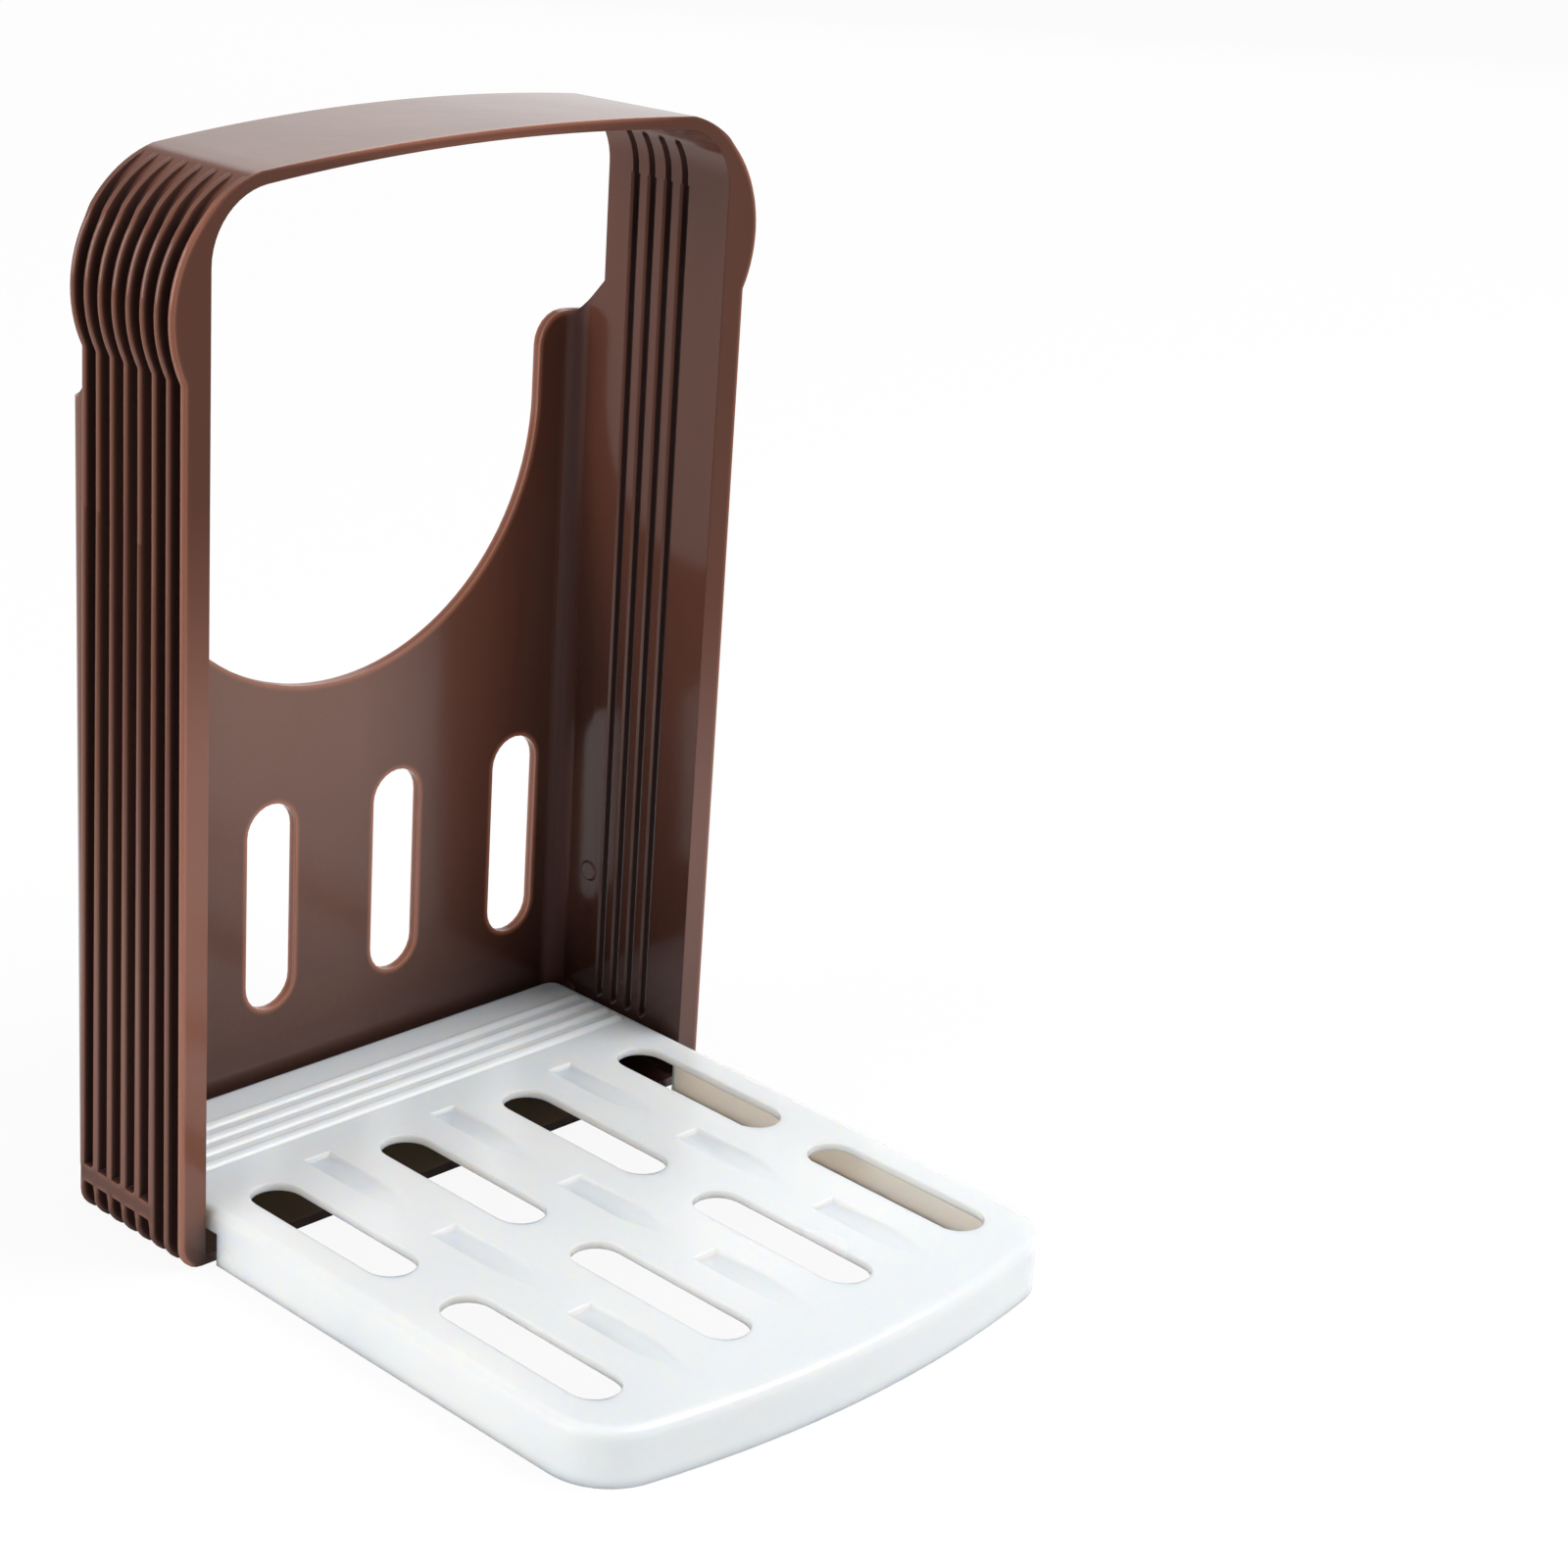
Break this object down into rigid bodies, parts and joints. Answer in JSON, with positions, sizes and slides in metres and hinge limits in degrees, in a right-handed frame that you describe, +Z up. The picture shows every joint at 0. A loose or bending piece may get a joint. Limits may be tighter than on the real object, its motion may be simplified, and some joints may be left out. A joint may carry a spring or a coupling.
{
  "type": "bread slicing guide",
  "caption": "Upright finned arch with knife slots in both side walls, on a low slotted bread tray that folds up into it.",
  "frame": {"origin": "centre of the bounding box's footprint, on the table, with the tray laid out flat", "axes": "+X to the right across the guide, seen from the tray's open end; +Y from the tray's open end to the back of the arch; +Z up"},
  "size_m": [0.159, 0.1754, 0.2366],
  "materials": {
    "frame": "gloss chocolate brown",
    "tray": "gloss white",
    "pin": "satin brown"
  },
  "bodies": {
    "frame": {"slicing_frame": "frame", "hinge_pin_left": "pin", "hinge_pin_right": "pin"},
    "tray": {"slicing_tray": "tray"}
  },
  "joints": [
    {"name": "tray_fold", "type": "hinge", "parent": "frame", "child": "tray", "pos_m": [0, 0.07895, 0.0103], "axis": [-1, 0, 0], "range_deg": [0, 90]}
  ]
}
